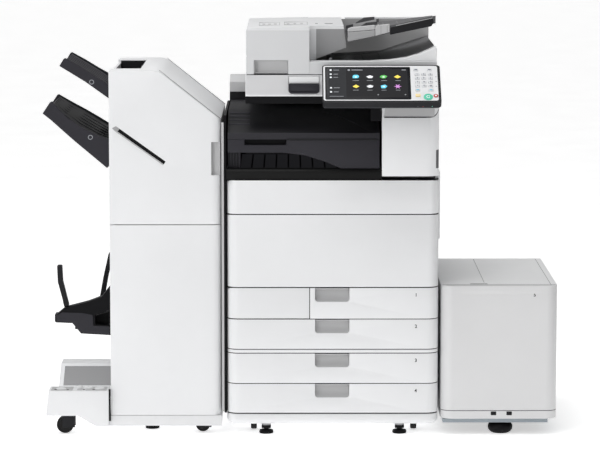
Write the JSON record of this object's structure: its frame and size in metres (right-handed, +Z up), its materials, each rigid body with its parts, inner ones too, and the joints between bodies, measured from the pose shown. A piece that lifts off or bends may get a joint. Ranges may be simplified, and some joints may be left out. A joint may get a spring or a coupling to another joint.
{
  "type": "photocopier",
  "caption": "Floor-standing office photocopier with paper drawers, document feeder, tilting touch panel, side paper deck and a finisher with output and booklet trays",
  "frame": {"origin": "on the floor at the centre of the footprint", "axes": "+X to the machine's right as seen from the front, +Y to the back, +Z up"},
  "size_m": [1.51, 0.756, 1.226],
  "materials": {
    "white_cover": "fine satin moulded ABS",
    "deck_cover": "satin moulded ABS, slightly greyer",
    "black_plastic": "fine matt black",
    "slate_plastic": "fine-grained dark slate",
    "grey_plastic": "matt mid grey",
    "light_grey": "matt light grey",
    "steel_frame": "zinc-plated sheet steel",
    "bracket_steel": "plated steel",
    "platen_glass": "clear float glass",
    "screen_glass": "glossy touch screen",
    "key_grey": "satin key tops",
    "start_green": "lit green start key",
    "stop_red": "red stop key",
    "tyre_rubber": "hard black caster tread",
    "roller_rubber": "grey feed rubber",
    "bottle_plastic": "toner bottle",
    "cassette_plastic": "dark tray plastic"
  },
  "bodies": {
    "machine": {"base_frame": "white_cover", "adjuster_feet": "black_plastic", "caster_forks": "bracket_steel", "main_frame": "steel_frame", "left_cover": "white_cover", "right_lower_cover": "white_cover", "rear_cover": "white_cover", "trim_strip": "white_cover", "exit_tray": "black_plastic", "rear_column": "black_plastic", "right_tower": "grey_plastic", "right_front_cover": "white_cover", "reader_housing": "white_cover", "platen_glass": "platen_glass", "utility_port": "slate_plastic", "panel_arm": "grey_plastic", "toner_bottles": "bottle_plastic", "imaging_unit": "grey_plastic", "bridge_unit": "slate_plastic", "finisher_cabinet": "white_cover", "finisher_base": "white_cover", "deck_cabinet": "deck_cover", "booklet_tray": "black_plastic"},
    "front_casters": {"front_caster_wheels": "tyre_rubber"},
    "rear_casters": {"rear_caster_wheels": "tyre_rubber"},
    "finisher_left_casters": {"finisher_wheels_left": "tyre_rubber"},
    "finisher_right_casters": {"finisher_wheels_right": "tyre_rubber"},
    "carriage": {"scan_carriage": "bracket_steel"},
    "front_door": {"front_door": "white_cover"},
    "toner_cover": {"toner_cover": "white_cover"},
    "waste_cover": {"waste_toner_cover": "white_cover"},
    "right_door": {"right_door": "white_cover"},
    "bypass": {"bypass_tray": "white_cover"},
    "bridge_lid": {"bridge_lid": "slate_plastic"},
    "feeder": {"feeder_base": "white_cover"},
    "feeder_cover": {"feeder_cover": "white_cover"},
    "document_tray": {"document_tray": "grey_plastic"},
    "front_guide": {"front_guide": "light_grey"},
    "rear_guide": {"rear_guide": "light_grey"},
    "feed_roller": {"feed_roller": "roller_rubber"},
    "panel": {"panel_housing": "white_cover", "touch_screen": "screen_glass"},
    "number_keys": {"number_keys": "key_grey"},
    "start_key": {"start_key": "start_green"},
    "stop_key": {"stop_key": "stop_red"},
    "finisher_upper_door": {"finisher_upper_door": "white_cover"},
    "finisher_lower_door": {"finisher_lower_door": "white_cover"},
    "upper_tray": {"upper_output_tray": "slate_plastic"},
    "lower_tray": {"lower_output_tray": "slate_plastic"},
    "booklet_arms": {"booklet_arms": "black_plastic"},
    "deck_drawer": {"deck_front": "deck_cover", "deck_paper_box": "steel_frame"},
    "drawer_1": {"drawer_front_1": "white_cover", "cassette_1": "cassette_plastic"},
    "drawer_2": {"drawer_front_2": "white_cover", "cassette_2": "cassette_plastic"},
    "drawer_3": {"drawer_front_3": "white_cover", "cassette_3": "cassette_plastic"},
    "drawer_4": {"drawer_front_4": "white_cover", "cassette_4": "cassette_plastic"}
  },
  "joints": [
    {"name": "front_caster_roll", "type": "hinge", "parent": "machine", "child": "front_casters", "pos_m": [0.1, -0.154, 0.025], "axis": [1, 0, 0], "continuous": true},
    {"name": "rear_caster_roll", "type": "hinge", "parent": "machine", "child": "rear_casters", "pos_m": [0.1, 0.29, 0.025], "axis": [1, 0, 0], "continuous": true},
    {"name": "finisher_left_roll", "type": "hinge", "parent": "machine", "child": "finisher_left_casters", "pos_m": [-0.691, 0, 0.026], "axis": [0, 1, 0], "continuous": true},
    {"name": "finisher_right_roll", "type": "hinge", "parent": "machine", "child": "finisher_right_casters", "pos_m": [-0.286, 0, 0.022], "axis": [0, 1, 0], "continuous": true},
    {"name": "scan_move", "type": "slide", "parent": "machine", "child": "carriage", "axis": [1, 0, 0], "range_m": [0, 0.42]},
    {"name": "front_door_open", "type": "hinge", "parent": "machine", "child": "front_door", "pos_m": [0.096, -0.2395, 0.4397], "axis": [1, 0, 0], "range_deg": [0, 90]},
    {"name": "toner_cover_open", "type": "hinge", "parent": "machine", "child": "toner_cover", "pos_m": [0.096, -0.2395, 0.6547], "axis": [1, 0, 0], "range_deg": [0, 90]},
    {"name": "waste_cover_open", "type": "hinge", "parent": "machine", "child": "waste_cover", "pos_m": [-0.093, -0.2395, 0.3467], "axis": [1, 0, 0], "range_deg": [0, 90]},
    {"name": "right_door_open", "type": "hinge", "parent": "machine", "child": "right_door", "pos_m": [0.402, 0.358, 0.715], "axis": [0, 0, 1], "range_deg": [0, 60]},
    {"name": "bypass_open", "type": "hinge", "parent": "right_door", "child": "bypass", "pos_m": [0.4111, 0.068, 0.5645], "axis": [0, 1, 0], "range_deg": [0, 80]},
    {"name": "bridge_lid_open", "type": "hinge", "parent": "machine", "child": "bridge_lid", "pos_m": [0.01, 0.2715, 0.8721], "axis": [-1, 0, 0], "range_deg": [0, 5.5]},
    {"name": "feeder_lift", "type": "hinge", "parent": "machine", "child": "feeder", "pos_m": [0.12, 0.35, 1.06], "axis": [-1, 0, 0], "range_deg": [0, 70]},
    {"name": "feeder_cover_open", "type": "hinge", "parent": "feeder", "child": "feeder_cover", "pos_m": [-0.15, 0.058, 1.1166], "axis": [0, -1, 0], "range_deg": [0, 70]},
    {"name": "document_tray_lift", "type": "hinge", "parent": "feeder", "child": "document_tray", "pos_m": [0.148, 0.065, 1.156], "axis": [0, -1, 0], "range_deg": [0, 20]},
    {"name": "front_guide_slide", "type": "slide", "parent": "document_tray", "child": "front_guide", "axis": [0, 1, 0], "range_m": [0, 0.1]},
    {"name": "rear_guide_slide", "type": "slide", "parent": "document_tray", "child": "rear_guide", "axis": [0, 1, 0], "range_m": [-0.1, 0]},
    {"name": "feed_roller_turn", "type": "hinge", "parent": "feeder", "child": "feed_roller", "pos_m": [0.09, 0.073, 1.099], "axis": [0, 1, 0], "continuous": true},
    {"name": "panel_tilt", "type": "hinge", "parent": "machine", "child": "panel", "pos_m": [0.235, -0.244, 1.058], "axis": [-1, 0, 0], "range_deg": [-15, 30]},
    {"name": "number_keys_press", "type": "slide", "parent": "panel", "child": "number_keys", "axis": [0, 0.5948, -0.8039], "range_m": [0, 0.0012], "stiffness_N_per_m": 250},
    {"name": "start_press", "type": "slide", "parent": "panel", "child": "start_key", "axis": [0, 0.5948, -0.8039], "range_m": [0, 0.0012], "stiffness_N_per_m": 250},
    {"name": "stop_press", "type": "slide", "parent": "panel", "child": "stop_key", "axis": [0, 0.5948, -0.8039], "range_m": [0, 0.0012], "stiffness_N_per_m": 250},
    {"name": "upper_door_open", "type": "hinge", "parent": "machine", "child": "finisher_upper_door", "pos_m": [-0.547, -0.224, 0.85], "axis": [0, 0, -1], "range_deg": [0, 90]},
    {"name": "lower_door_open", "type": "hinge", "parent": "machine", "child": "finisher_lower_door", "pos_m": [-0.547, -0.224, 0.34], "axis": [0, 0, -1], "range_deg": [0, 90]},
    {"name": "upper_tray_travel", "type": "slide", "parent": "machine", "child": "upper_tray", "axis": [0, 0, 1], "range_m": [-0.08, 0]},
    {"name": "lower_tray_travel", "type": "slide", "parent": "machine", "child": "lower_tray", "axis": [0, 0, 1], "range_m": [-0.28, 0]},
    {"name": "booklet_arms_slide", "type": "slide", "parent": "machine", "child": "booklet_arms", "axis": [0.9676, 0, 0.2524], "range_m": [0, 0.05]},
    {"name": "drawer_1_slide", "type": "slide", "parent": "machine", "child": "drawer_1", "axis": [0, -1, 0], "range_m": [0, 0.42]},
    {"name": "drawer_2_slide", "type": "slide", "parent": "machine", "child": "drawer_2", "axis": [0, -1, 0], "range_m": [0, 0.42]},
    {"name": "drawer_3_slide", "type": "slide", "parent": "machine", "child": "drawer_3", "axis": [0, -1, 0], "range_m": [0, 0.42]},
    {"name": "drawer_4_slide", "type": "slide", "parent": "machine", "child": "drawer_4", "axis": [0, -1, 0], "range_m": [0, 0.42]},
    {"name": "deck_slide", "type": "slide", "parent": "machine", "child": "deck_drawer", "axis": [0, -1, 0], "range_m": [0, 0.45]}
  ],
  "couplings": [
    {"joint": "rear_guide_slide", "follows": "front_guide_slide", "ratio": -1}
  ]
}
